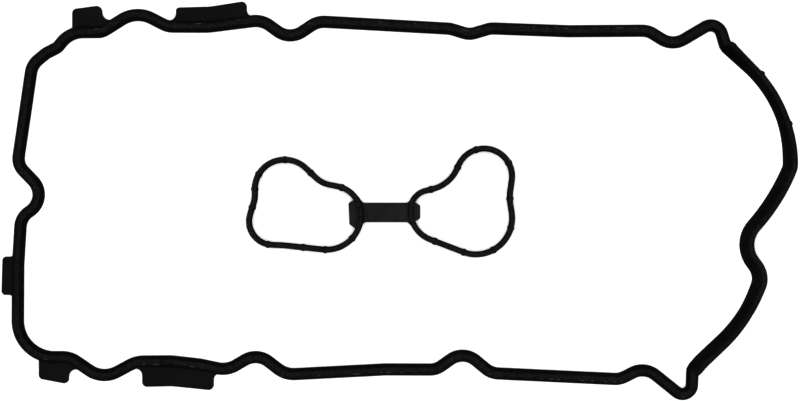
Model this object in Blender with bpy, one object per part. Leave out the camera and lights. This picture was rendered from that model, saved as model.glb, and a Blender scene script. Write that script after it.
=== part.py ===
"""Valve cover gasket: a perimeter seal and a plug well seal, moulded in rubber.

Both seals lie on the head's face, underside at z = 0, crown up. Lengths are in metres.
+X runs along the engine towards the cam end, +Y towards the tabbed long side with the small corner tab.
"""

import math

import bmesh
import bpy
from mathutils import Vector

# Section of the perimeter seal along its plain run
RUN_WIDTH = 0.0066
RUN_HEIGHT = 0.0054
RUN_WALL_HEIGHT = 0.0022
RUN_CROWN_WIDTH = 0.0028
CROWN_CHAMFER = 0.0004
FOOT_CHAMFER = 0.0003

# Section of the wider stretch over the cam end, which has its crown at its outer edge.
# A width is given with its distance along the arch from the top kink.
ARCH_WIDTHS = [
    (0.0, 0.0079),
    (0.0200, 0.0064),
    (0.0520, 0.0064),
    (0.0740, 0.0076),
    (0.0920, 0.0080),
    (0.1100, 0.0079),
    (0.1360, 0.0076),
    (0.1540, 0.0081),
    (0.1720, 0.0075),
    (0.1990, 0.0081),
    (0.2160, 0.0081),
]
ARCH_CROWN_WIDTH = 0.0022
ARCH_SHOULDER = 0.0008
ARCH_LIP_HEIGHT = 0.0014
ARCH_LIP_WIDTH = 0.0009
ARCH_BLEND = 0.0020

# How far the outer half of the section at the bottom kink leans down the run, for each unit outwards
KINK_LEAN = 0.40

# Nibs on the arch's outer edge and pips on its slope, each near a place in plan
ARCH_NIBS = [(0.1877, 0.0872), (0.2033, 0.0713), (0.2190, 0.0430)]
ARCH_NIB_RADIUS = 0.0020
ARCH_NIB_REACH = 0.0042
ARCH_NIB_BOTTOM = 0.0008
ARCH_NIB_HEIGHT = 0.0030
ARCH_PIPS = [(0.2090, -0.0016), (0.2002, -0.0515), (0.1824, -0.0781), (0.1672, -0.0930)]
ARCH_PIP_RADIUS = 0.0008
ARCH_PIP_INSET = 0.0006
ARCH_PIP_WIDTH = 0.0078

# Tabs that stand out from the perimeter seal
TAB_BOTTOM = 0.0004
TAB_THICKNESS = 0.0016
TAB_EDGE_ROUND = 0.0003

# Section of the plug well seal, with its web and pads
LOOP_WIDTH = 0.0032
LOOP_HEIGHT = 0.0052
LOOP_CROWN_CHAMFER = 0.0010
LOOP_FOOT_CHAMFER = 0.0003
WEB_LINE = -0.0069
WEB_WIDTH = 0.0108
WEB_BOTTOM = 0.0006
WEB_THICKNESS = 0.0020
WEB_EDGE_ROUND = 0.0002
WEB_CHAMFERS = {"upper_left": -0.0002, "upper_right": 0.0002, "lower_right": 0.0002, "lower_left": 0.0006}
LEFT_LOOP_SIDE = -0.0216
RIGHT_LOOP_SIDE = 0.0063
PAD_CORNER = 0.0007
PAD_BITE = 0.0003
LEFT_PAD = {"line": -0.0076, "reaches": (0.0069, 0.0064), "edge": 0.0118, "root": 0.0190}
RIGHT_PAD = {"line": -0.0066, "reaches": (0.0052, 0.0052), "edge": 0.0072, "root": 0.0120}

# Retention nibs, upright buttons through the loops that stand proud on both sides
NIB_PROUD = 0.0004
NIB_BOTTOM = 0.0012
NIB_HEIGHT = 0.0027

# Most turn and most length between two points along an arc, and when two points count as one
ARC_STEP = math.radians(10)
ARC_CHORD = 0.0050
SAME_PLACE = 0.0001

# Corners of the perimeter seal's centre line: x, y and the radius that rounds them.
# The line runs up the left end, right along the top, down the arch and back along the bottom.
LEFT_END = [
    (-0.2120, -0.0096, 0.0106),
    (-0.1960, 0.0013, 0.0112),
    (-0.2140, 0.0199, 0.0100),
    (-0.2092, 0.0522, 0.0600),
    (-0.2058, 0.0757, 0.0114),
    (-0.1979, 0.0823, 0.0110),
    (-0.1916, 0.0854, 0.0070),
    (-0.1846, 0.0941, 0.0155),
]
TOP_SIDE = [
    (-0.1666, 0.0941, 0.0085),
    (-0.1474, 0.1062, 0.0168),
    (-0.1299, 0.0972, 0.0120),
    (-0.1072, 0.0971, 0.0340),
    (-0.0770, 0.1009, 0.0134),
    (-0.0615, 0.0896, 0.0120),
    (-0.0459, 0.1001, 0.0128),
    (0.0284, 0.0960, 0.0130),
    (0.0392, 0.0927, 0.0106),
    (0.0510, 0.0962, 0.0110),
    (0.0944, 0.0946, 0.0400),
    (0.1392, 0.0949, 0.0110),
    (0.1530, 0.0863, 0.0120),
    (0.1782, 0.1012, 0.0064),
]
TOP_KINK = (0.1822, 0.0871, 0.0)
ARCH = [
    (0.2181, 0.0523, 0.0720),
    (0.2187, 0.0186, 0.0100),
    (0.2112, 0.0007, 0.1290),
    (0.1900, -0.0241, 0.0162),
    (0.2031, -0.0424, 0.0118),
    (0.1928, -0.0676, 0.0800),
    (0.1690, -0.0901, 0.0200),
]
BOTTOM_KINK = (0.1640, -0.0958, 0.0)
BOTTOM_SIDE = [
    (0.1634, -0.1141, 0.0053),
    (0.1374, -0.0931, 0.0120),
    (0.1235, -0.1003, 0.0123),
    (0.0513, -0.0969, 0.0118),
    (0.0358, -0.0841, 0.0116),
    (0.0206, -0.0949, 0.0112),
    (-0.0081, -0.0948, 0.0340),
    (-0.0639, -0.0977, 0.0146),
    (-0.0797, -0.0855, 0.0118),
    (-0.0965, -0.0953, 0.0140),
    (-0.1117, -0.0921, 0.0340),
    (-0.1274, -0.0903, 0.0220),
    (-0.1474, -0.0904, 0.0162),
    (-0.1662, -0.1005, 0.0150),
    (-0.1846, -0.0879, 0.0140),
    (-0.2139, -0.0881, 0.0205),
    (-0.2136, -0.0360, 0.0600),
]

# Corners of the two loops' centre lines, clockwise from the lower left
LEFT_LOOP = [
    (-0.0887, -0.0243, 0.0132),
    (-0.0809, 0.0007, 0.0168),
    (-0.0812, 0.0226, 0.0164),
    (-0.0574, 0.0226, 0.0168),
    (-0.0435, 0.0094, 0.0150),
    (LEFT_LOOP_SIDE, 0.0052, 0.0162),
    (LEFT_LOOP_SIDE, -0.0299, 0.0192),
    (-0.0647, -0.0253, 0.0400),
]
RIGHT_LOOP = [
    (RIGHT_LOOP_SIDE, -0.0179, 0.0168),
    (RIGHT_LOOP_SIDE, 0.0032, 0.0106),
    (0.0282, 0.0086, 0.0200),
    (0.0372, 0.0289, 0.0162),
    (0.0655, 0.0288, 0.0162),
    (0.0614, 0.0015, 0.0280),
    (0.0665, -0.0302, 0.0203),
    (0.0392, -0.0304, 0.0196),
]

# Retention nibs, each near a place in plan
LEFT_LOOP_NIBS = [
    (-0.0641, 0.0226),
    (-0.0790, 0.0146),
    (-0.0810, 0.0062),
    (-0.0823, -0.0041),
    (-0.0735, -0.0246),
    (-0.0538, -0.0264),
    (-0.0416, -0.0280),
    (-0.0266, -0.0213),
    (-0.0322, 0.0073),
    (-0.0496, 0.0152),
]
RIGHT_LOOP_NIBS = [
    (0.0176, 0.0061),
    (0.0324, 0.0185),
    (0.0428, 0.0283),
    (0.0616, 0.0213),
    (0.0618, 0.0008),
    (0.0627, -0.0157),
    (0.0525, -0.0277),
    (0.0358, -0.0292),
    (0.0198, -0.0230),
]

# Tabs, each with the side it stands on. A tip corner is its place along that side, how far it stands
# out from the seal's centre line, and its radius. The fillets are those at its two roots.
TOP = {"along": Vector((1, 0)), "out": Vector((0, 1))}
BOTTOM = {"along": Vector((1, 0)), "out": Vector((0, -1))}
LEFT = {"along": Vector((0, 1)), "out": Vector((-1, 0))}
TABS = {
    "top_small": {
        "side": TOP,
        "tip": [(-0.1832, 0.0140, 0.0024), (-0.1665, 0.0146, 0.0032)],
        "fillets": (0.0012, 0.0044),
    },
    "top_wide": {
        "side": TOP,
        "tip": [(-0.1251, 0.0106, 0.0018), (-0.1061, 0.0110, 0.0200), (-0.0856, 0.0117, 0.0028)],
        "fillets": (0.0040, 0.0036),
    },
    "left": {
        "side": LEFT,
        "tip": [(-0.0530, 0.0091, 0.0021), (-0.0317, 0.0089, 0.0021)],
        "fillets": (0.0020, 0.0020),
    },
    "bottom_small": {
        "side": BOTTOM,
        "tip": [(-0.2019, 0.0138, 0.0024), (-0.1852, 0.0146, 0.0026)],
        "fillets": (0.0014, 0.0044),
    },
    "bottom_wide": {
        "side": BOTTOM,
        "tip": [(-0.1440, 0.0141, 0.0026), (-0.1274, 0.0138, 0.0200), (-0.1041, 0.0128, 0.0028)],
        "fillets": (0.0038, 0.0036),
    },
}
TAB_BITE = 0.0004
ROOT_SPREAD = 1.5

RUBBER_COLOUR = (0.012, 0.012, 0.013, 1.0)
RUBBER_ROUGHNESS = 0.62


def rounded(corners):
    """Points round a closed outline, one group for each corner, with an arc at each that has a radius.

    An arc is made smaller where the sides beside it are too short for it.
    """
    count = len(corners)
    places = [Vector(corner[:2]) for corner in corners]
    sides = [(places[(i + 1) % count] - places[i]).length for i in range(count)]
    backs = [(places[i - 1] - places[i]).normalized() for i in range(count)]
    aheads = [(places[(i + 1) % count] - places[i]).normalized() for i in range(count)]
    half_turns = [(math.pi - back.angle(ahead)) / 2 for back, ahead in zip(backs, aheads)]
    reaches = [corner[2] * math.tan(half) for corner, half in zip(corners, half_turns)]
    groups = []
    for i, place in enumerate(places):
        room_back = sides[i - 1] / max(reaches[i] + reaches[i - 1], sides[i - 1])
        room_ahead = sides[i] / max(reaches[i] + reaches[(i + 1) % count], sides[i])
        reach = reaches[i] * min(room_back, room_ahead)
        if reach <= 0:
            groups.append([place])
            continue
        radius = reach / math.tan(half_turns[i])
        centre = place + (backs[i] + aheads[i]).normalized() * radius / math.cos(half_turns[i])
        start = place + backs[i] * reach - centre
        across = Vector((-start.y, start.x))
        turn = math.copysign(2 * half_turns[i], aheads[i].cross(backs[i]))
        steps = math.ceil(max(abs(turn) / ARC_STEP, abs(turn) * radius / ARC_CHORD))
        angles = [turn * k / steps for k in range(steps + 1)]
        groups.append([centre + start * math.cos(a) + across * math.sin(a) for a in angles])
    for i, group in enumerate(groups):
        before = groups[i - 1]
        if (group[0] - before[-1]).length > SAME_PLACE:
            continue
        if len(group) > 1:
            group.pop(0)
        elif len(before) > 1:
            before.pop()
    return groups


def joined(groups):
    """One list of points from the groups."""
    return [point for group in groups for point in group]


def outwards(line):
    """Mitred outward vector at each point of a closed clockwise line, for a step of one unit."""
    vectors = []
    for i, point in enumerate(line):
        back = (point - line[i - 1]).normalized()
        ahead = (line[(i + 1) % len(line)] - point).normalized()
        along = (back + ahead).normalized()
        vectors.append(Vector((-along.y, along.x)) / along.dot(ahead))
    return vectors


def offset(line, distance):
    """The line moved outwards by a distance."""
    return [point + out * distance for point, out in zip(line, outwards(line))]


def nearest(line, place):
    """The point of a closed clockwise line nearest to a place, and the unit outward vector there."""
    place = Vector(place)
    best = None
    for i, point in enumerate(line):
        side = point - line[i - 1]
        share = min(1.0, max(0.0, (place - line[i - 1]).dot(side) / side.length_squared))
        foot = line[i - 1] + side * share
        if best is None or (foot - place).length < (best[0] - place).length:
            best = (foot, Vector((-side.y, side.x)).normalized())
    return best


def crossing(line, side, place):
    """How far out a closed line runs at a place along a side."""
    found = []
    for i, point in enumerate(line):
        start = line[i - 1].dot(side["along"]) - place
        end = point.dot(side["along"]) - place
        if start * end <= 0 and start != end:
            found.append(line[i - 1].lerp(point, start / (start - end)).dot(side["out"]))
    return max(found)


def collection(name):
    """A new collection in the scene."""
    new = bpy.data.collections.new(name)
    bpy.context.scene.collection.children.link(new)
    return new


def mesh_object(name, bm, where):
    """An object made from a bmesh, with its faces pointing out."""
    bmesh.ops.recalc_face_normals(bm, faces=bm.faces)
    mesh = bpy.data.meshes.new(name)
    bm.to_mesh(mesh)
    bm.free()
    new = bpy.data.objects.new(name, mesh)
    where.objects.link(new)
    return new


def from_curve(name, curve_object, where):
    """A welded mesh object in place of a curve object."""
    bpy.context.view_layer.update()
    evaluated = curve_object.evaluated_get(bpy.context.evaluated_depsgraph_get())
    mesh = bpy.data.meshes.new_from_object(evaluated)
    bm = bmesh.new()
    bm.from_mesh(mesh)
    bmesh.ops.remove_doubles(bm, verts=bm.verts, dist=0.000005)
    new = mesh_object(name, bm, where)
    new.matrix_world = curve_object.matrix_world.copy()
    bpy.data.objects.remove(curve_object)
    bpy.data.meshes.remove(mesh)
    return new


def curve_object(name, points, where):
    """A closed straight-sided curve through points in plan."""
    curve = bpy.data.curves.new(name, "CURVE")
    curve.dimensions = "2D"
    spline = curve.splines.new("POLY")
    spline.points.add(len(points) - 1)
    for spline_point, point in zip(spline.points, points):
        spline_point.co = (*point, 0, 1)
    spline.use_cyclic_u = True
    new = bpy.data.objects.new(name, curve)
    where.objects.link(new)
    return new


def plate(name, corners, bottom, thickness, edge_round, where):
    """A flat plate with rounded edges, cut to an outline."""
    outline = curve_object(name + "_outline", joined(rounded(corners)), where)
    outline.data.fill_mode = "BOTH"
    outline.data.extrude = thickness / 2 - edge_round
    outline.data.bevel_depth = edge_round
    outline.data.bevel_resolution = 0
    outline.data.offset = -edge_round
    outline.location.z = bottom + thickness / 2
    return from_curve(name, outline, where)


def join_in(body, shape):
    """Unite a shape with a body, and leave the shape as a hidden guide."""
    union = body.modifiers.new(shape.name, "BOOLEAN")
    union.operation = "UNION"
    union.object = shape
    shape.hide_render = True
    shape.display_type = "WIRE"


def run_section():
    """Outline of the run's section, outer foot to inner foot: distance out from the line, height."""
    half = RUN_WIDTH / 2
    crown = RUN_CROWN_WIDTH / 2
    flank = Vector((half - crown, RUN_WALL_HEIGHT - RUN_HEIGHT)).normalized() * CROWN_CHAMFER
    outer = [
        (half - FOOT_CHAMFER, 0),
        (half, FOOT_CHAMFER),
        (half, RUN_WALL_HEIGHT),
        (crown + flank.x, RUN_HEIGHT + flank.y),
        (crown - CROWN_CHAMFER, RUN_HEIGHT),
    ]
    return outer + [(-out, height) for out, height in reversed(outer)]


def arch_section(width):
    """Outline of the arch's section: crown at the outer edge, slope down to a lip at the inner edge."""
    half = width / 2
    crown = half - ARCH_SHOULDER
    return [
        (half - FOOT_CHAMFER, 0),
        (half, FOOT_CHAMFER),
        (half, RUN_HEIGHT - ARCH_SHOULDER),
        (half - ARCH_SHOULDER / 3, RUN_HEIGHT - ARCH_SHOULDER / 3),
        (crown, RUN_HEIGHT),
        (crown - ARCH_CROWN_WIDTH, RUN_HEIGHT),
        (ARCH_LIP_WIDTH - half, ARCH_LIP_HEIGHT),
        (-half, ARCH_LIP_HEIGHT - FOOT_CHAMFER),
        (-half, FOOT_CHAMFER),
        (FOOT_CHAMFER - half, 0),
    ]


def loop_section():
    """Outline of the plug well seal's section, with a narrowed crown."""
    half = LOOP_WIDTH / 2
    right = [
        (half - LOOP_FOOT_CHAMFER, 0),
        (half, LOOP_FOOT_CHAMFER),
        (half, LOOP_HEIGHT - LOOP_CROWN_CHAMFER),
        (half - LOOP_CROWN_CHAMFER / 3, LOOP_HEIGHT - LOOP_CROWN_CHAMFER / 3),
        (half - LOOP_CROWN_CHAMFER, LOOP_HEIGHT),
    ]
    return right + [(-across, height) for across, height in reversed(right)]


def beyond(start, towards, distance):
    """A sharp corner at a distance from one corner on the way to another."""
    place = Vector(start[:2])
    way = (Vector(towards[:2]) - place).normalized()
    return (*(place + way * distance), 0.0)


def arch_width(distance):
    """Width of the arch at a distance from its top kink."""
    for (start, width), (end, next_width) in zip(ARCH_WIDTHS, ARCH_WIDTHS[1:]):
        if distance < end:
            return width + (next_width - width) * (distance - start) / (end - start)
    return ARCH_WIDTHS[-1][1]


def perimeter_line():
    """The perimeter seal's centre line, and for each point its distance along the arch, or None."""
    arch = [
        beyond(TOP_KINK, ARCH[0], ARCH_BLEND),
        *ARCH,
        beyond(BOTTOM_KINK, ARCH[-1], ARCH_BLEND),
    ]
    before = [*LEFT_END, *TOP_SIDE, TOP_KINK]
    groups = rounded([*before, *arch, BOTTOM_KINK, *BOTTOM_SIDE])
    start = len(joined(groups[:len(before)]))
    end = len(joined(groups[:len(before) + len(arch)]))
    line = joined(groups)
    distances = [None] * len(line)
    travelled = 0.0
    for i in range(start, end):
        travelled += (line[i] - line[i - 1]).length
        distances[i] = travelled
    return line, distances


def perimeter_body(where):
    """The closed ring of the perimeter seal, lofted because its section changes at the kinks."""
    line, distances = perimeter_line()
    bm = bmesh.new()
    rings = []
    for i, (point, out) in enumerate(zip(line, outwards(line))):
        section = run_section() if distances[i] is None else arch_section(arch_width(distances[i]))
        at_bottom_kink = distances[i] is None and distances[i - 1] is not None
        lean = (line[(i + 1) % len(line)] - point).normalized() * (KINK_LEAN if at_bottom_kink else 0.0)
        rings.append([bm.verts.new((*(point + out * u + lean * max(0.0, u)), z)) for u, z in section])
    for i, ring in enumerate(rings):
        for j in range(len(ring)):
            bm.faces.new((rings[i - 1][j - 1], rings[i - 1][j], ring[j], ring[j - 1]))
    return mesh_object("perimeter_seal", bm, where)


def tab_corners(line, tab):
    """Corners of a tab's outline, from inside the seal round the tip and back."""
    side = tab["side"]
    edge = offset(line, RUN_WIDTH / 2 - TAB_BITE)
    corners = []
    for end, sign, fillet in ((0, -1, tab["fillets"][0]), (-1, 1, tab["fillets"][1])):
        place = tab["tip"][end][0]
        spread = place + sign * (ROOT_SPREAD * fillet)
        root = [
            (spread, crossing(line, side, spread), 0.0),
            (spread, crossing(edge, side, spread), 0.0),
            (place, crossing(edge, side, place), fillet),
        ]
        corners.append(root if end == 0 else root[::-1])
    tip = [(place, crossing(line, side, place) + reach, radius) for place, reach, radius in tab["tip"]]
    outline = corners[0] + tip + corners[1]
    return [(*(side["along"] * place + side["out"] * out), radius) for place, out, radius in outline]


def upright_nibs(name, line, places, radius, bottom, height, shift, where):
    """Upright round nibs at places along a line, moved outwards from it by a shift."""
    bm = bmesh.new()
    for place in places:
        foot, out = nearest(line, place)
        made = bmesh.ops.create_cone(
            bm, cap_ends=True, segments=16, radius1=radius, radius2=radius, depth=height
        )
        centre = foot + out * shift
        bmesh.ops.translate(bm, verts=made["verts"], vec=(*centre, bottom + height / 2))
    return mesh_object(name, bm, where)


def arch_pips(name, line, where):
    """Small round pips on the arch's slope."""
    bm = bmesh.new()
    half = ARCH_PIP_WIDTH / 2
    top = half - ARCH_SHOULDER - ARCH_CROWN_WIDTH
    foot = ARCH_LIP_WIDTH - half
    fall = (RUN_HEIGHT - ARCH_LIP_HEIGHT) / (top - foot)
    for place in ARCH_PIPS:
        point, out = nearest(line, place)
        height = ARCH_LIP_HEIGHT + fall * (-ARCH_PIP_INSET - foot)
        made = bmesh.ops.create_uvsphere(bm, u_segments=10, v_segments=6, radius=ARCH_PIP_RADIUS)
        bmesh.ops.translate(bm, verts=made["verts"], vec=(*(point - out * ARCH_PIP_INSET), height))
    return mesh_object(name, bm, where)


def loop_body(name, corners, where, guides):
    """A closed loop of the plug well seal, its section swept along its line."""
    section = curve_object(name + "_section", loop_section(), guides)
    path = curve_object(name + "_path", joined(rounded(corners)), where)
    path.data.bevel_mode = "OBJECT"
    path.data.bevel_object = section
    body = from_curve(name, path, where)
    bpy.data.objects.remove(section)
    return body


def pad_corners(side, sign, pad):
    """Corners of a pad inside a loop, from its upper root to its lower one."""
    upper_tip, lower_tip = (side + sign * reach for reach in pad["reaches"])
    root = side + sign * (LOOP_WIDTH / 2 - PAD_BITE)
    return [
        (root, pad["line"] + pad["root"] / 2, 0.0),
        (upper_tip, pad["line"] + pad["edge"] / 2, PAD_CORNER),
        (lower_tip, pad["line"] - pad["edge"] / 2, PAD_CORNER),
        (root, pad["line"] - pad["root"] / 2, 0.0),
    ]


def web_corners():
    """Corners of the flat web between the loops, with the pad at each end of it."""
    left_pad = pad_corners(LEFT_LOOP_SIDE, -1, LEFT_PAD)
    right_pad = pad_corners(RIGHT_LOOP_SIDE, 1, RIGHT_PAD)
    ends = {}
    for name, chamfer in WEB_CHAMFERS.items():
        over = 1 if "upper" in name else -1
        away = 1 if "left" in name else -1
        side = LEFT_LOOP_SIDE if "left" in name else RIGHT_LOOP_SIDE
        edge = WEB_LINE + over * WEB_WIDTH / 2
        cut = LOOP_WIDTH / 2 + chamfer
        ends[name] = [(side, edge + over * cut, 0.0), (side + away * cut, edge, cut)]
    upper = ends["upper_left"] + ends["upper_right"][::-1]
    lower = ends["lower_right"] + ends["lower_left"][::-1]
    return upper + right_pad + lower + left_pad[::-1]


def rubber(name):
    """Matt black rubber."""
    material = bpy.data.materials.new(name)
    material.use_nodes = True
    shader = material.node_tree.nodes["Principled BSDF"]
    shader.inputs["Base Color"].default_value = RUBBER_COLOUR
    shader.inputs["Roughness"].default_value = RUBBER_ROUGHNESS
    return material


def perimeter_seal(parts, guides):
    """The outer seal: ring, tabs, and the arch's nibs and pips."""
    seal = perimeter_body(parts)
    line = perimeter_line()[0]
    for name, tab in TABS.items():
        corners = tab_corners(line, tab)
        join_in(seal, plate(name + "_tab", corners, TAB_BOTTOM, TAB_THICKNESS, TAB_EDGE_ROUND, guides))
    shift = ARCH_NIB_REACH - ARCH_NIB_RADIUS
    nibs = upright_nibs(
        "arch_nibs", line, ARCH_NIBS, ARCH_NIB_RADIUS, ARCH_NIB_BOTTOM, ARCH_NIB_HEIGHT, shift, guides
    )
    join_in(seal, nibs)
    join_in(seal, arch_pips("arch_pips", line, guides))
    seal.data.materials.append(rubber("perimeter_rubber"))
    return seal


def plug_well_seal(parts, guides):
    """The inner seal: two loops, the web with its pads, and the retention nibs."""
    seal = loop_body("plug_well_seal", LEFT_LOOP, parts, guides)
    join_in(seal, loop_body("right_loop", RIGHT_LOOP, guides, guides))
    join_in(seal, plate("web", web_corners(), WEB_BOTTOM, WEB_THICKNESS, WEB_EDGE_ROUND, guides))
    for name, corners, places in (
        ("left_nibs", LEFT_LOOP, LEFT_LOOP_NIBS),
        ("right_nibs", RIGHT_LOOP, RIGHT_LOOP_NIBS),
    ):
        line = joined(rounded(corners))
        radius = LOOP_WIDTH / 2 + NIB_PROUD
        join_in(seal, upright_nibs(name, line, places, radius, NIB_BOTTOM, NIB_HEIGHT, 0.0, guides))
    seal.data.materials.append(rubber("plug_well_rubber"))
    return seal


def stand_on_middle(seals):
    """Parent everything to an empty that puts the middle of the seals' footprint on the origin."""
    bpy.context.view_layer.update()
    graph = bpy.context.evaluated_depsgraph_get()
    corners = []
    for seal in seals:
        shape = seal.evaluated_get(graph).data
        corners += [seal.matrix_world @ vertex.co for vertex in shape.vertices]
    middle = bpy.data.objects.new("gasket_middle", None)
    bpy.context.scene.collection.objects.link(middle)
    for made in list(bpy.data.objects):
        if made != middle:
            made.parent = middle
    for axis in (0, 1):
        values = [corner[axis] for corner in corners]
        middle.location[axis] = -(min(values) + max(values)) / 2


for old in list(bpy.data.objects):
    bpy.data.objects.remove(old)
parts_collection = collection("valve_cover_gasket")
guide_collection = collection("joining_shapes")
stand_on_middle([
    perimeter_seal(parts_collection, guide_collection),
    plug_well_seal(parts_collection, guide_collection),
])
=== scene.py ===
"""Valve cover gasket: the outer seal and the plug well seal, laid out as they sit in the cover."""

import math

import bmesh
import bpy
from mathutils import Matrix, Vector


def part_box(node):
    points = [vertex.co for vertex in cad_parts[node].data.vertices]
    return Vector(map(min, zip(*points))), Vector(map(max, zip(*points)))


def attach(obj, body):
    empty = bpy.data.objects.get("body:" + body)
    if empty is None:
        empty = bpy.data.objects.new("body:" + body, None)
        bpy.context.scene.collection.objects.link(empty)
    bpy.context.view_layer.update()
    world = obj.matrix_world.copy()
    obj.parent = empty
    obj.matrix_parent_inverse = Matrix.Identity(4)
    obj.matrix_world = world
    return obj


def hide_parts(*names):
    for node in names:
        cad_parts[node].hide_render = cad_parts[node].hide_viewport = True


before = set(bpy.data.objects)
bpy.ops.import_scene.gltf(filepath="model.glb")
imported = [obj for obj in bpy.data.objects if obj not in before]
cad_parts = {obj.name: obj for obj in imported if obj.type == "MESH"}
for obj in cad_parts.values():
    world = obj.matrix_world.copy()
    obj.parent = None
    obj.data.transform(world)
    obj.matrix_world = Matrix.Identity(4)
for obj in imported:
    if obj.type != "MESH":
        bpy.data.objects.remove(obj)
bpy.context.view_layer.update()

# The camera looks straight down from a little over a metre, which leans the tall crowns outwards
# towards the edges of the picture, and the picture is filled from side to side by the outer seal.

CAMERA_HEIGHT = 1.2
PICTURE_WIDTH = 0.448
PICTURE_PLANE = 0.0012
PICTURE_CENTRE = (0.00037, 0.00022)
SENSOR_WIDTH = 36.0

camera_data = bpy.data.cameras.new("camera")
camera_data.sensor_width = SENSOR_WIDTH
camera_data.lens = SENSOR_WIDTH * (CAMERA_HEIGHT - PICTURE_PLANE) / PICTURE_WIDTH
camera = bpy.data.objects.new("camera", camera_data)
camera.location = (*PICTURE_CENTRE, CAMERA_HEIGHT)
bpy.context.scene.collection.objects.link(camera)
bpy.context.scene.camera = camera

# The outer seal's closed rubber bead, which presses into the groove round the cover's rim.
# It is moulded in one shot with upright walls, sloping shoulders and a narrow level crown, and dodges
# inwards round the cover's bolts. Over the cam end its crown moves to the outer edge.

RUN_WIDTH = 0.0066
RUN_HEIGHT = 0.0054
RUN_WALL_HEIGHT = 0.0022
RUN_CROWN_WIDTH = 0.0028
ARCH_WIDTHS = [
    (0.0, 0.0079),
    (0.0200, 0.0064),
    (0.0520, 0.0064),
    (0.0740, 0.0076),
    (0.0920, 0.0080),
    (0.1100, 0.0079),
    (0.1360, 0.0076),
    (0.1540, 0.0081),
    (0.1720, 0.0075),
    (0.1990, 0.0081),
    (0.2160, 0.0081),
]
ARCH_CROWN_WIDTH = 0.0022
ARCH_SHOULDER = 0.0006
ARCH_LIP_HEIGHT = 0.0014
ARCH_LIP_WIDTH = 0.0009
ARCH_BLEND = 0.0020
KINK_LEAN = 0.40
CROWN_ROUND = 0.00045
FOOT_ROUND = 0.00025
CROWN_FACETS = 5
EDGE_FACETS = 3
RIDGE_ANGLE = math.radians(12)
ARC_STEP = math.radians(4)
ARC_CHORD = 0.0020
SAME_PLACE = 0.00005

LEFT_END = [
    (-0.2120, -0.0096, 0.0106),
    (-0.1960, 0.0013, 0.0112),
    (-0.2140, 0.0199, 0.0100),
    (-0.2092, 0.0522, 0.0600),
    (-0.2058, 0.0757, 0.0114),
    (-0.1979, 0.0823, 0.0110),
    (-0.1916, 0.0854, 0.0070),
    (-0.1846, 0.0941, 0.0155),
]
TOP_SIDE = [
    (-0.1666, 0.0941, 0.0085),
    (-0.1474, 0.1062, 0.0168),
    (-0.1299, 0.0972, 0.0120),
    (-0.1072, 0.0971, 0.0340),
    (-0.0770, 0.1009, 0.0134),
    (-0.0615, 0.0896, 0.0120),
    (-0.0459, 0.1001, 0.0128),
    (0.0284, 0.0960, 0.0130),
    (0.0392, 0.0927, 0.0106),
    (0.0510, 0.0962, 0.0110),
    (0.0944, 0.0946, 0.0400),
    (0.1392, 0.0949, 0.0110),
    (0.1530, 0.0863, 0.0120),
    (0.1782, 0.1012, 0.0064),
]
TOP_KINK = (0.1822, 0.0871, 0.0)
ARCH = [
    (0.2181, 0.0523, 0.0720),
    (0.2187, 0.0186, 0.0100),
    (0.2112, 0.0007, 0.1290),
    (0.1900, -0.0241, 0.0162),
    (0.2031, -0.0424, 0.0118),
    (0.1928, -0.0676, 0.0800),
    (0.1690, -0.0901, 0.0200),
]
BOTTOM_KINK = (0.1640, -0.0958, 0.0)
BOTTOM_SIDE = [
    (0.1634, -0.1141, 0.0053),
    (0.1374, -0.0931, 0.0120),
    (0.1235, -0.1003, 0.0123),
    (0.0513, -0.0969, 0.0118),
    (0.0358, -0.0841, 0.0116),
    (0.0206, -0.0949, 0.0112),
    (-0.0081, -0.0948, 0.0340),
    (-0.0639, -0.0977, 0.0146),
    (-0.0797, -0.0855, 0.0118),
    (-0.0965, -0.0953, 0.0140),
    (-0.1117, -0.0921, 0.0340),
    (-0.1274, -0.0903, 0.0220),
    (-0.1474, -0.0904, 0.0162),
    (-0.1662, -0.1005, 0.0150),
    (-0.1846, -0.0879, 0.0140),
    (-0.2139, -0.0881, 0.0205),
    (-0.2136, -0.0360, 0.0600),
]


def rounded(corners):
    """Points round a closed outline, grouped by corner, with an arc at each corner that has a radius."""
    count = len(corners)
    places = [Vector(corner[:2]) for corner in corners]
    sides = [(places[(i + 1) % count] - places[i]).length for i in range(count)]
    backs = [(places[i - 1] - places[i]).normalized() for i in range(count)]
    aheads = [(places[(i + 1) % count] - places[i]).normalized() for i in range(count)]
    halves = [(math.pi - back.angle(ahead)) / 2 for back, ahead in zip(backs, aheads)]
    reaches = [corner[2] * math.tan(half) for corner, half in zip(corners, halves)]
    groups = []
    for i, place in enumerate(places):
        room_back = sides[i - 1] / max(reaches[i] + reaches[i - 1], sides[i - 1])
        room_ahead = sides[i] / max(reaches[i] + reaches[(i + 1) % count], sides[i])
        reach = reaches[i] * min(room_back, room_ahead)
        if reach <= 0:
            groups.append([place])
            continue
        radius = reach / math.tan(halves[i])
        centre = place + (backs[i] + aheads[i]).normalized() * radius / math.cos(halves[i])
        start = place + backs[i] * reach - centre
        across = Vector((-start.y, start.x))
        turn = math.copysign(2 * halves[i], aheads[i].cross(backs[i]))
        steps = math.ceil(max(abs(turn) / ARC_STEP, abs(turn) * radius / ARC_CHORD))
        angles = [turn * k / steps for k in range(steps + 1)]
        groups.append([centre + start * math.cos(a) + across * math.sin(a) for a in angles])
    for i, group in enumerate(groups):
        before = groups[i - 1]
        if (group[0] - before[-1]).length > SAME_PLACE:
            continue
        if len(group) > 1:
            group.pop(0)
        elif len(before) > 1:
            before.pop()
    return groups


def joined(groups):
    """One list of points from the groups."""
    return [point for group in groups for point in group]


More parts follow.
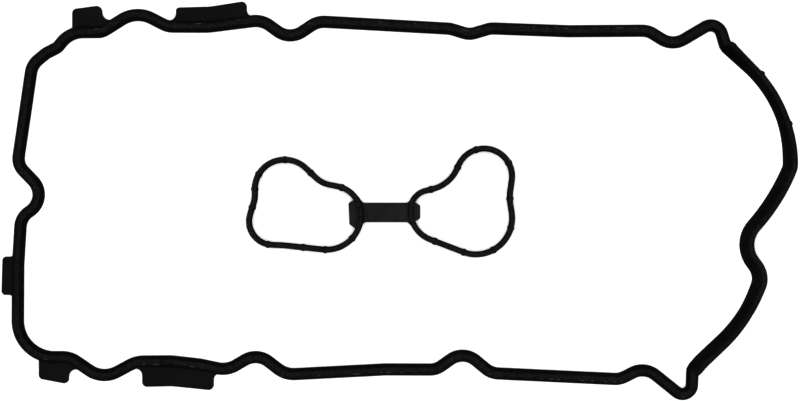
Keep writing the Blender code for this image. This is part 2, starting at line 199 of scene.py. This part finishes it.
def outwards(line):
    """Mitred outward vector at each point of a closed clockwise line, for a step of one unit."""
    vectors = []
    for i, point in enumerate(line):
        back = (point - line[i - 1]).normalized()
        ahead = (line[(i + 1) % len(line)] - point).normalized()
        along = (back + ahead).normalized()
        vectors.append(Vector((-along.y, along.x)) / along.dot(ahead))
    return vectors


def run_section():
    """Sharp-cornered section of the run, outer foot to inner foot: distance out from the line, height."""
    half = RUN_WIDTH / 2
    crown = RUN_CROWN_WIDTH / 2
    return [
        (half, 0),
        (half, RUN_WALL_HEIGHT),
        (crown, RUN_HEIGHT),
        (-crown, RUN_HEIGHT),
        (-half, RUN_WALL_HEIGHT),
        (-half, RUN_WALL_HEIGHT / 2),
        (-half, 0),
    ]


def arch_section(width):
    """Sharp-cornered section of the arch: crown at the outer edge, slope down to a lip at the inner edge."""
    half = width / 2
    crown = half - ARCH_SHOULDER
    return [
        (half, 0),
        (half, RUN_HEIGHT - ARCH_SHOULDER),
        (crown, RUN_HEIGHT),
        (crown - ARCH_CROWN_WIDTH, RUN_HEIGHT),
        (ARCH_LIP_WIDTH - half, ARCH_LIP_HEIGHT),
        (-half, ARCH_LIP_HEIGHT - FOOT_ROUND),
        (-half, 0),
    ]


def arch_width(distance):
    """Width of the arch at a distance from its top kink."""
    for (start, width), (end, next_width) in zip(ARCH_WIDTHS, ARCH_WIDTHS[1:]):
        if distance < end:
            return width + (next_width - width) * (distance - start) / (end - start)
    return ARCH_WIDTHS[-1][1]


def beyond(start, towards, distance):
    """A sharp corner at a distance from one corner on the way to another."""
    place = Vector(start[:2])
    way = (Vector(towards[:2]) - place).normalized()
    return (*(place + way * distance), 0.0)


def bead(line, sections, crown_round, kink=None):
    """A closed bead: a section at each point of the line, bridged to the next, with its edges rounded.

    The outer half of the section at the kink leans along the line.
    """
    bm = bmesh.new()
    loops = []
    for i, (point, out) in enumerate(zip(line, outwards(line))):
        lean = (line[(i + 1) % len(line)] - point).normalized() * (KINK_LEAN if i == kink else 0.0)
        places = [(point + out * across + lean * max(0.0, across), height) for across, height in sections[i]]
        verts = [bm.verts.new((*place, height)) for place, height in places]
        loops.append([bm.edges.new((verts[k - 1], verts[k])) for k in range(len(verts))])
    crossways = {edge for loop in loops for edge in loop}
    for i, loop in enumerate(loops):
        bmesh.ops.bridge_loops(bm, edges=loops[i - 1] + loop)
    bmesh.ops.recalc_face_normals(bm, faces=bm.faces)
    lengthways = [edge for edge in bm.edges if edge not in crossways]
    feet = [edge for edge in lengthways if edge.verts[0].co.z < FOOT_ROUND]
    upper = [edge for edge in lengthways if edge.verts[0].co.z >= FOOT_ROUND]
    ridges = [edge for edge in upper if edge.calc_face_angle() > RIDGE_ANGLE]
    for edges, size, segments in ((ridges, crown_round, CROWN_FACETS), (feet, FOOT_ROUND, EDGE_FACETS)):
        bmesh.ops.bevel(
            bm, geom=[edge for edge in edges if edge.is_valid], offset=size, segments=segments,
            affect="EDGES", profile=0.5, material=-1, clamp_overlap=False,
        )
    return bm


def laid(name, bm):
    """A mesh object from a bmesh."""
    mesh = bpy.data.meshes.new(name)
    bm.to_mesh(mesh)
    bm.free()
    made = bpy.data.objects.new(name, mesh)
    bpy.context.scene.collection.objects.link(made)
    return made


before_arch = [*LEFT_END, *TOP_SIDE, TOP_KINK]
arch_corners = [
    beyond(TOP_KINK, ARCH[0], ARCH_BLEND),
    *ARCH,
    beyond(BOTTOM_KINK, ARCH[-1], ARCH_BLEND),
]
outer_groups = rounded([*before_arch, *arch_corners, BOTTOM_KINK, *BOTTOM_SIDE])
arch_start = len(joined(outer_groups[:len(before_arch)]))
arch_end = len(joined(outer_groups[:len(before_arch) + len(arch_corners)]))
outer_line = joined(outer_groups)
outer_sections = [run_section()] * len(outer_line)
climbed = 0.0
for i in range(arch_start, arch_end):
    climbed += (outer_line[i] - outer_line[i - 1]).length
    outer_sections[i] = arch_section(arch_width(climbed))
outer_seal = laid("outer_seal", bead(outer_line, outer_sections, CROWN_ROUND, kink=arch_end))

# The five flat tabs that stand out from the outer seal, moulded with it, low against its wall.
# They are what a fitter holds and what finds the seal's place on the cover. Their edges and corners
# are rounded, and small hollows join them to the bead.

TAB_BOTTOM = 0.0004
TAB_THICKNESS = 0.0016
TAB_EDGE_ROUND = 0.0003
TAB_BITE = 0.0006
ROOT_SPREAD = 1.5
TOP = {"along": Vector((1, 0)), "out": Vector((0, 1))}
BOTTOM = {"along": Vector((1, 0)), "out": Vector((0, -1))}
LEFT = {"along": Vector((0, 1)), "out": Vector((-1, 0))}
TABS = {
    "top_small_tab": {
        "side": TOP,
        "tip": [(-0.1832, 0.0140, 0.0024), (-0.1665, 0.0146, 0.0032)],
        "fillets": (0.0012, 0.0044),
    },
    "top_wide_tab": {
        "side": TOP,
        "tip": [(-0.1251, 0.0106, 0.0018), (-0.1061, 0.0110, 0.0200), (-0.0856, 0.0117, 0.0028)],
        "fillets": (0.0040, 0.0036),
    },
    "left_tab": {
        "side": LEFT,
        "tip": [(-0.0530, 0.0091, 0.0021), (-0.0317, 0.0089, 0.0021)],
        "fillets": (0.0020, 0.0020),
    },
    "bottom_small_tab": {
        "side": BOTTOM,
        "tip": [(-0.2019, 0.0138, 0.0024), (-0.1852, 0.0146, 0.0026)],
        "fillets": (0.0014, 0.0044),
    },
    "bottom_wide_tab": {
        "side": BOTTOM,
        "tip": [(-0.1440, 0.0141, 0.0026), (-0.1274, 0.0138, 0.0200), (-0.1041, 0.0128, 0.0028)],
        "fillets": (0.0038, 0.0036),
    },
}


def crossing(line, side, place):
    """How far out a closed line runs at a place along a side."""
    found = []
    for i, point in enumerate(line):
        start = line[i - 1].dot(side["along"]) - place
        end = point.dot(side["along"]) - place
        if start * end <= 0 and start != end:
            found.append(line[i - 1].lerp(point, start / (start - end)).dot(side["out"]))
    return max(found)


def tab_corners(line, tab):
    """Corners of a tab's outline, from inside the seal round the tip and back."""
    side = tab["side"]
    edge = [point + out * (RUN_WIDTH / 2 - TAB_BITE) for point, out in zip(line, outwards(line))]
    corners = []
    for end, sign, fillet in ((0, -1, tab["fillets"][0]), (-1, 1, tab["fillets"][1])):
        place = tab["tip"][end][0]
        spread = place + sign * (ROOT_SPREAD * fillet)
        root = [
            (spread, crossing(line, side, spread), 0.0),
            (spread, crossing(edge, side, spread), 0.0),
            (place, crossing(edge, side, place), fillet),
        ]
        corners.append(root if end == 0 else root[::-1])
    tip = [(place, crossing(line, side, place) + reach, radius) for place, reach, radius in tab["tip"]]
    outline = corners[0] + tip + corners[1]
    return [(*(side["along"] * place + side["out"] * out), radius) for place, out, radius in outline]


def plate(name, corners, bottom, thickness, edge_round):
    """A flat plate cut to an outline, with its upper and lower edges rounded."""
    bm = bmesh.new()
    sheet = bm.faces.new([bm.verts.new((*point, bottom)) for point in joined(rounded(corners))])
    raised = bmesh.ops.extrude_face_region(bm, geom=[sheet])["geom"]
    lifted = [item for item in raised if isinstance(item, bmesh.types.BMVert)]
    bmesh.ops.translate(bm, verts=lifted, vec=(0, 0, thickness))
    bmesh.ops.recalc_face_normals(bm, faces=bm.faces)
    rims = [edge for edge in bm.edges if abs(edge.verts[0].co.z - edge.verts[1].co.z) < thickness / 2]
    bmesh.ops.bevel(
        bm, geom=rims, offset=edge_round, segments=EDGE_FACETS, affect="EDGES", profile=0.5,
        material=-1, clamp_overlap=False,
    )
    return laid(name, bm)


tabs = [
    plate(name, tab_corners(outer_line, tab), TAB_BOTTOM, TAB_THICKNESS, TAB_EDGE_ROUND)
    for name, tab in TABS.items()
]

# The nibs on the arch's outer wall, which grip the groove, and the pips on its slope, left by the
# mould's air vents. All are of the bead's own rubber.

ARCH_NIBS = [(0.1877, 0.0872), (0.2033, 0.0713), (0.2190, 0.0430)]
ARCH_NIB_RADIUS = 0.0020
ARCH_NIB_REACH = 0.0042
ARCH_NIB_BOTTOM = 0.0008
ARCH_NIB_HEIGHT = 0.0030
ARCH_PIPS = [(0.2090, -0.0016), (0.2002, -0.0515), (0.1824, -0.0781), (0.1672, -0.0930)]
ARCH_PIP_RADIUS = 0.0008
ARCH_PIP_INSET = 0.0006
ARCH_PIP_WIDTH = 0.0078
NIB_ROUND = 0.0003
NIB_SIDES = 32


def nearest(line, place):
    """The point of a closed clockwise line nearest to a place, and the unit outward vector there."""
    place = Vector(place)
    best = None
    for i, point in enumerate(line):
        side = point - line[i - 1]
        share = min(1.0, max(0.0, (place - line[i - 1]).dot(side) / side.length_squared))
        foot = line[i - 1] + side * share
        if best is None or (foot - place).length < (best[0] - place).length:
            best = (foot, Vector((-side.y, side.x)).normalized())
    return best


def nibs(name, line, places, radius, bottom, height, shift):
    """Upright buttons with rounded rims at places along a line, moved outwards from it by a shift."""
    bm = bmesh.new()
    for place in places:
        foot, out = nearest(line, place)
        centre = foot + out * shift
        made = bmesh.ops.create_cone(
            bm, cap_ends=True, segments=NIB_SIDES, radius1=radius, radius2=radius, depth=height
        )
        bmesh.ops.translate(bm, verts=made["verts"], vec=(*centre, bottom + height / 2))
    rims = [edge for edge in bm.edges if abs(edge.verts[0].co.z - edge.verts[1].co.z) < height / 2]
    bmesh.ops.bevel(
        bm, geom=rims, offset=NIB_ROUND, segments=EDGE_FACETS, affect="EDGES", profile=0.5,
        material=-1, clamp_overlap=False,
    )
    return laid(name, bm)


def pips(name, line):
    """Small round pips on the arch's slope."""
    bm = bmesh.new()
    half = ARCH_PIP_WIDTH / 2
    top = half - ARCH_SHOULDER - ARCH_CROWN_WIDTH
    foot = ARCH_LIP_WIDTH - half
    height = ARCH_LIP_HEIGHT + (RUN_HEIGHT - ARCH_LIP_HEIGHT) * (-ARCH_PIP_INSET - foot) / (top - foot)
    for place in ARCH_PIPS:
        point, out = nearest(line, place)
        made = bmesh.ops.create_icosphere(bm, subdivisions=3, radius=ARCH_PIP_RADIUS)
        bmesh.ops.translate(bm, verts=made["verts"], vec=(*(point - out * ARCH_PIP_INSET), height))
    return laid(name, bm)


arch_nibs = nibs(
    "arch_nibs", outer_line, ARCH_NIBS, ARCH_NIB_RADIUS, ARCH_NIB_BOTTOM, ARCH_NIB_HEIGHT,
    ARCH_NIB_REACH - ARCH_NIB_RADIUS,
)
arch_pips = pips("arch_pips", outer_line)

# Everything on the outer seal leaves the mould as one piece of rubber, so the bead, tabs, nibs and
# pips are made one closed skin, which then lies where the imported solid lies.

CREASE_ANGLE = math.radians(38)


def one_skin(body, shapes, node):
    """Makes the body and the shapes on it one closed mesh, in the place that its node has."""
    for shape in shapes:
        union = body.modifiers.new(shape.name, "BOOLEAN")
        union.operation = "UNION"
        union.solver = "EXACT"
        union.object = shape
    graph = bpy.context.evaluated_depsgraph_get()
    skin = bpy.data.meshes.new_from_object(body.evaluated_get(graph))
    body.modifiers.clear()
    body.data = skin
    for shape in shapes:
        bpy.data.objects.remove(shape)
    bm = bmesh.new()
    bm.from_mesh(skin)
    between_ends = [vertex for vertex in bm.verts if len(vertex.link_edges) == 2]
    bmesh.ops.dissolve_verts(bm, verts=between_ends)
    bm.to_mesh(skin)
    bm.free()
    low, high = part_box(node)
    for axis in (0, 1):
        values = [vertex.co[axis] for vertex in skin.vertices]
        shift = (low[axis] + high[axis] - min(values) - max(values)) / 2
        for vertex in skin.vertices:
            vertex.co[axis] += shift
    skin.polygons.foreach_set("use_smooth", [True] * len(skin.polygons))
    skin.set_sharp_from_angle(angle=CREASE_ANGLE)


one_skin(outer_seal, [*tabs, arch_nibs, arch_pips], "perimeter_seal")

# Black seal rubber straight from the mould: matt, mottled and grained by the blasted mould, with pale dust
# specks on level faces.
# Light and shade are painted into its colour: a darker painted shade on slopes that face the middle of the
# seal, the level tone as painted light on slopes that face out, a lighter painted highlight on the outer
# seal's crowns, and bright painted glints along its outer shoulder.
# The start of the arch is darker.

LEVEL_TONE = (0.0092, 0.0092, 0.0093, 1.0)
# Painted highlight: the crown tone is lighter than the level tone, for the light that the flat crowns catch.
CROWN_TONE = (0.0122, 0.0122, 0.0123, 1.0)
# Painted shade: the slope tone darkens slopes that face the middle of the seal.
PAINTED_INNER_SLOPE_SHADE = (0.0058, 0.0058, 0.0059, 1.0)
SPECK_TONE = (0.045, 0.045, 0.044, 1.0)
# Painted glints: bright dots on the outer shoulder, for light caught on its edge.
PAINTED_GLINT_TONE = (0.11, 0.11, 0.11, 1.0)
SPECULAR_LEVEL = 0.09
ROUGHNESS = (0.38, 0.60)
SLOPE_ROUGHNESS = 0.95
GRAIN_DEPTH = 0.00003
GRAIN_STRENGTH = 0.6

# How far a face turns upwards, 0 to 1, where it starts to count as level or as shoulder.
LEVEL_TURN = (0.62, 1.0)
SHOULDER_START = (0.62, 0.74)
SHOULDER_END = (0.90, 0.98)

# How squarely a face turns away from the middle of the seal, 0 to 1, times its distance from there.
OUTER_SLOPE = (-0.01, 0.02)
GLINTS_START = (0.034, 0.040)
GLINTS_END = (0.068, 0.082)

CROWN_RISE = (0.0026, 0.0040)
# The start of the arch is darker, by this share, across and along these ranges of place.
ARCH_START_DARKENING = 0.6
ARCH_DARK_ACROSS = (0.178, 0.182)
ARCH_DARK_ALONG_START = (0.072, 0.080)
ARCH_DARK_ALONG_END = (0.085, 0.089)

CLOUD = {"Scale": 70.0, "Detail": 6.0, "Roughness": 0.6}
GRAIN = {"Scale": 2200.0, "Detail": 2.0}
DUST = {"Scale": 1300.0, "Detail": 1.0}
MOTTLE = {"Scale": 650.0, "Detail": 2.0}
GLINT_NOISE_SETTINGS = {"Scale": 330.0, "Detail": 0.0}
MIDDLE_OF_NOISE = (0.30, 0.70)
DUSTY_NOISE = (0.70, 0.80)
GLINT_NOISE_RANGE = (0.60, 0.68)
LOW_MOTTLING = 0.2
CROWN_MOTTLING = 0.7
CLOUDING = 0.4


class Flow:
    """A socket of one material's nodes that works in sums, and makes the nodes that they need."""

    def __init__(self, tree, socket):
        self.tree = tree
        self.socket = socket

    def node(self, kind, settings, sockets, output=0):
        """A new node with settings, its sockets given values or links, as one of its outputs."""
        made = self.tree.nodes.new(kind)
        for name, value in settings.items():
            setattr(made, name, value)
        for name, value in sockets.items():
            if isinstance(value, Flow):
                self.tree.links.new(value.socket, made.inputs[name])
            else:
                made.inputs[name].default_value = value
        return Flow(self.tree, made.outputs[output])

    def sum(self, operation, first, second=0.0):
        """A Math node on two values."""
        return self.node("ShaderNodeMath", {"operation": operation}, {0: first, 1: second})

    def __add__(self, other):
        return self.sum("ADD", self, other)

    def __mul__(self, other):
        return self.sum("MULTIPLY", self, other)

    def __sub__(self, other):
        return self.sum("SUBTRACT", self, other)

    def __rsub__(self, other):
        return self.sum("SUBTRACT", other, self)

    __radd__ = __add__
    __rmul__ = __mul__

    def between(self, low, high):
        """0 at the low value, 1 at the high one, smooth between them."""
        settings = {"interpolation_type": "SMOOTHSTEP"}
        return self.node("ShaderNodeMapRange", settings, {"Value": self, "From Min": low, "From Max": high})

    def blend(self, first, second):
        """A colour, from the first where this is 0 to the second where it is 1."""
        settings = {"data_type": "RGBA"}
        return self.node("ShaderNodeMix", settings, {0: self, 6: first, 7: second}, 2)

    def shade(self, colour):
        """A colour times this."""
        return self.node("ShaderNodeVectorMath", {"operation": "SCALE"}, {0: colour, "Scale": self})


def seal_rubber(name, level_tone, crown_tone, inner_slope_painted_shade):
    """Black moulded rubber, with tones for its low level faces, its crowns and its slopes: the slope tone is
    painted shade on slopes facing the seal's middle, and slopes facing out take the level tone as painted
    light.
    """
    material = bpy.data.materials.new(name)
    material.use_nodes = True
    tree = material.node_tree
    shader = tree.nodes["Principled BSDF"]
    start = Flow(tree, None)
    place = start.node("ShaderNodeTexCoord", {}, {}, "Object")
    facing = start.node("ShaderNodeTexCoord", {}, {}, "Normal")
    upright = start.node("ShaderNodeSeparateXYZ", {}, {0: facing}, "Z")
    across = start.node("ShaderNodeSeparateXYZ", {}, {0: place}, "X")
    along = start.node("ShaderNodeSeparateXYZ", {}, {0: place}, "Y")
    height = start.node("ShaderNodeSeparateXYZ", {}, {0: place}, "Z")
    outward = start.node(
        "ShaderNodeVectorMath", {"operation": "DOT_PRODUCT"}, {0: facing, 1: place}, "Value"
    )
    cloud, grain, dust, mottle, glint_noise = (
        start.node("ShaderNodeTexNoise", {}, {"Vector": place, **noise})
        for noise in (CLOUD, GRAIN, DUST, MOTTLE, GLINT_NOISE_SETTINGS)
    )
    level = upright.between(*LEVEL_TURN)
    raised = height.between(*CROWN_RISE)
    mottled = (LOW_MOTTLING + CROWN_MOTTLING * raised) * (mottle.between(*MIDDLE_OF_NOISE) - 0.5)
    clouded = CLOUDING * (cloud.between(*MIDDLE_OF_NOISE) - 0.5)
    spread = mottled + clouded
    # The patch at the start of the arch that is darker.
    arch_dark_along = along.between(*ARCH_DARK_ALONG_START) * (1.0 - along.between(*ARCH_DARK_ALONG_END))
    arch_dark_patch = across.between(*ARCH_DARK_ACROSS) * arch_dark_along
    # Painted light and shade: slopes facing out of the seal take the level tone, slopes facing its middle
    # the darker slope tone.
    slopes = outward.between(*OUTER_SLOPE).blend(inner_slope_painted_shade, level_tone)
    # Level faces high on the bead take the crown tone, a painted highlight on the outer seal; low level
    # faces take the level tone.
    painted_light_tone = level.blend(slopes, raised.blend(level_tone, crown_tone))
    tone = ((1.0 + spread) * (1.0 - ARCH_START_DARKENING * arch_dark_patch)).shade(painted_light_tone)
    specked = (dust.between(*DUSTY_NOISE) * level).blend(tone, SPECK_TONE)
    # Painted glints: bright dots on the outer shoulders of the long sides, thinned by noise.
    shoulder = upright.between(*SHOULDER_START) * (1.0 - upright.between(*SHOULDER_END))
    glint_band = shoulder * outward.between(*GLINTS_START) * (1.0 - outward.between(*GLINTS_END))
    colour = (glint_noise.between(*GLINT_NOISE_RANGE) * glint_band).blend(specked, PAINTED_GLINT_TONE)
    low, high = ROUGHNESS
    worn = low + (high - low) * (0.5 * cloud + 0.5 * grain)
    roughness = worn * level + SLOPE_ROUGHNESS * (1.0 - level)
    bump = start.node(
        "ShaderNodeBump", {},
        {"Strength": GRAIN_STRENGTH, "Distance": GRAIN_DEPTH, "Height": grain + 0.5 * cloud},
    )
    tree.links.new(colour.socket, shader.inputs["Base Color"])
    tree.links.new(roughness.socket, shader.inputs["Roughness"])
    tree.links.new(bump.socket, shader.inputs["Normal"])
    shader.inputs["Specular IOR Level"].default_value = SPECULAR_LEVEL
    return material


outer_seal.data.materials.clear()
outer_seal.data.materials.append(seal_rubber("outer_seal_rubber", LEVEL_TONE, CROWN_TONE, PAINTED_INNER_SLOPE_SHADE))
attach(outer_seal, "root")
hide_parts("perimeter_seal")

# The plug well seal: two thin loops, one round each pair of plug wells, moulded with the flat web that
# keeps them apart and a flat pad inside each loop. It presses into its own groove in the cover.

LOOP_WIDTH = 0.0032
LOOP_HEIGHT = 0.0052
LOOP_CROWN_ROUND = 0.0011
LEFT_LOOP_SIDE = -0.0216
RIGHT_LOOP_SIDE = 0.0063
LEFT_LOOP = [
    (-0.0887, -0.0243, 0.0132),
    (-0.0809, 0.0007, 0.0168),
    (-0.0812, 0.0226, 0.0164),
    (-0.0574, 0.0226, 0.0168),
    (-0.0435, 0.0094, 0.0150),
    (LEFT_LOOP_SIDE, 0.0052, 0.0162),
    (LEFT_LOOP_SIDE, -0.0299, 0.0192),
    (-0.0647, -0.0253, 0.0400),
]
RIGHT_LOOP = [
    (RIGHT_LOOP_SIDE, -0.0179, 0.0168),
    (RIGHT_LOOP_SIDE, 0.0032, 0.0106),
    (0.0282, 0.0086, 0.0200),
    (0.0372, 0.0289, 0.0162),
    (0.0655, 0.0288, 0.0162),
    (0.0614, 0.0015, 0.0280),
    (0.0665, -0.0302, 0.0203),
    (0.0392, -0.0304, 0.0196),
]


def loop_section():
    """Sharp-cornered section of a loop: distance out from the line, height."""
    half = LOOP_WIDTH / 2
    return [(half, 0), (half, LOOP_HEIGHT), (-half, LOOP_HEIGHT), (-half, 0)]


left_line = joined(rounded(LEFT_LOOP))
right_line = joined(rounded(RIGHT_LOOP))
left_bead = bead(left_line, [loop_section()] * len(left_line), LOOP_CROWN_ROUND)
right_bead = bead(right_line, [loop_section()] * len(right_line), LOOP_CROWN_ROUND)
plug_well_seal = laid("plug_well_seal_skin", left_bead)
right_loop = laid("right_loop", right_bead)

# The web between the loops, with the pad at each end of it: one flat plate that the loops run
# through, thinner than they are tall.

WEB_LINE = -0.0069
WEB_WIDTH = 0.0108
WEB_BOTTOM = 0.0006
WEB_THICKNESS = 0.0020
WEB_EDGE_ROUND = 0.0002
WEB_CHAMFERS = {"upper_left": -0.0002, "upper_right": 0.0002, "lower_right": 0.0002, "lower_left": 0.0006}
PAD_CORNER = 0.0007
PAD_BITE = 0.0003
LEFT_PAD = {"line": -0.0076, "reaches": (0.0069, 0.0064), "edge": 0.0118, "root": 0.0190}
RIGHT_PAD = {"line": -0.0066, "reaches": (0.0052, 0.0052), "edge": 0.0072, "root": 0.0120}


def pad_corners(side, sign, pad):
    """Corners of a pad inside a loop, from its upper root to its lower one."""
    upper_tip, lower_tip = (side + sign * reach for reach in pad["reaches"])
    root = side + sign * (LOOP_WIDTH / 2 - PAD_BITE)
    return [
        (root, pad["line"] + pad["root"] / 2, 0.0),
        (upper_tip, pad["line"] + pad["edge"] / 2, PAD_CORNER),
        (lower_tip, pad["line"] - pad["edge"] / 2, PAD_CORNER),
        (root, pad["line"] - pad["root"] / 2, 0.0),
    ]


def web_corners():
    """Corners of the web's outline, clockwise from its upper left end."""
    left_pad = pad_corners(LEFT_LOOP_SIDE, -1, LEFT_PAD)
    right_pad = pad_corners(RIGHT_LOOP_SIDE, 1, RIGHT_PAD)
    ends = {}
    for name, chamfer in WEB_CHAMFERS.items():
        over = 1 if "upper" in name else -1
        away = 1 if "left" in name else -1
        side = LEFT_LOOP_SIDE if "left" in name else RIGHT_LOOP_SIDE
        edge = WEB_LINE + over * WEB_WIDTH / 2
        cut = LOOP_WIDTH / 2 + chamfer
        ends[name] = [(side, edge + over * cut, 0.0), (side + away * cut, edge, cut)]
    upper = ends["upper_left"] + ends["upper_right"][::-1]
    lower = ends["lower_right"] + ends["lower_left"][::-1]
    return upper + right_pad + lower + left_pad[::-1]


web = plate("web", web_corners(), WEB_BOTTOM, WEB_THICKNESS, WEB_EDGE_ROUND)

# The retention nibs round both loops: small upright buttons through the bead, a little proud of it on
# both sides, which hold the seal in its groove while the cover is turned over and fitted.

LOOP_NIB_PROUD = 0.0004
LOOP_NIB_BOTTOM = 0.0012
LOOP_NIB_HEIGHT = 0.0027
LEFT_LOOP_NIBS = [
    (-0.0641, 0.0226),
    (-0.0790, 0.0146),
    (-0.0810, 0.0062),
    (-0.0823, -0.0041),
    (-0.0735, -0.0246),
    (-0.0538, -0.0264),
    (-0.0416, -0.0280),
    (-0.0266, -0.0213),
    (-0.0322, 0.0073),
    (-0.0496, 0.0152),
]
RIGHT_LOOP_NIBS = [
    (0.0176, 0.0061),
    (0.0324, 0.0185),
    (0.0428, 0.0283),
    (0.0616, 0.0213),
    (0.0618, 0.0008),
    (0.0627, -0.0157),
    (0.0525, -0.0277),
    (0.0358, -0.0292),
    (0.0198, -0.0230),
]

loop_nibs = [
    nibs(name, line, places, LOOP_WIDTH / 2 + LOOP_NIB_PROUD, LOOP_NIB_BOTTOM, LOOP_NIB_HEIGHT, 0.0)
    for name, line, places in (
        ("left_loop_nibs", left_line, LEFT_LOOP_NIBS),
        ("right_loop_nibs", right_line, RIGHT_LOOP_NIBS),
    )
]
one_skin(plug_well_seal, [right_loop, web, *loop_nibs], "plug_well_seal")

# The plug well seal's rubber is the same compound, a little greyer than the outer seal's, most of all
# on its flat web.

WELL_LEVEL_TONE = (0.0245, 0.0243, 0.0228, 1.0)
WELL_CROWN_TONE = (0.0150, 0.0150, 0.0149, 1.0)
# Painted shade: the slope tone darkens the loops' walls and slopes that face the middle of the seal.
WELL_PAINTED_INNER_SLOPE_SHADE = (0.0018, 0.0018, 0.0018, 1.0)

plug_well_seal.data.materials.clear()
plug_well_seal.data.materials.append(
    seal_rubber("plug_well_rubber", WELL_LEVEL_TONE, WELL_CROWN_TONE, WELL_PAINTED_INNER_SLOPE_SHADE)
)
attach(plug_well_seal, "root")
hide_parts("plug_well_seal")

# The studio: a plain white floor under the seals, a large soft lamp overhead and even white light from
# all round. The picture is printed hard, as a catalogue prints black rubber on white.

FLOOR_SIZE = 6.0
FLOOR_DROP = 0.00005
FLOOR_TONE = (0.92, 0.92, 0.92, 1.0)
FLOOR_ROUGHNESS = 0.9
LAMP_SIZE = 1.6
LAMP_HEIGHT = 1.7
LAMP_POWER = 24.0
SKY_STRENGTH = 1.0
PRINT_GAMMA = 0.62

bm = bmesh.new()
bmesh.ops.create_grid(bm, x_segments=1, y_segments=1, size=FLOOR_SIZE / 2)
bmesh.ops.translate(bm, verts=bm.verts, vec=(0, 0, -FLOOR_DROP))
floor = laid("floor", bm)
floor_paint = bpy.data.materials.new("floor_paint")
floor_paint.use_nodes = True
floor_shader = floor_paint.node_tree.nodes["Principled BSDF"]
floor_shader.inputs["Base Color"].default_value = FLOOR_TONE
floor_shader.inputs["Roughness"].default_value = FLOOR_ROUGHNESS
floor.data.materials.append(floor_paint)

lamp_data = bpy.data.lights.new("overhead_lamp", "AREA")
lamp_data.shape = "SQUARE"
lamp_data.size = LAMP_SIZE
lamp_data.energy = LAMP_POWER
lamp = bpy.data.objects.new("overhead_lamp", lamp_data)
lamp.location = (0, 0, LAMP_HEIGHT)
bpy.context.scene.collection.objects.link(lamp)

world = bpy.data.worlds.new("studio")
world.use_nodes = True
world.node_tree.nodes["Background"].inputs["Color"].default_value = (1.0, 1.0, 1.0, 1.0)
world.node_tree.nodes["Background"].inputs["Strength"].default_value = SKY_STRENGTH
bpy.context.scene.world = world
bpy.context.scene.view_settings.view_transform = "Standard"
bpy.context.scene.view_settings.gamma = PRINT_GAMMA
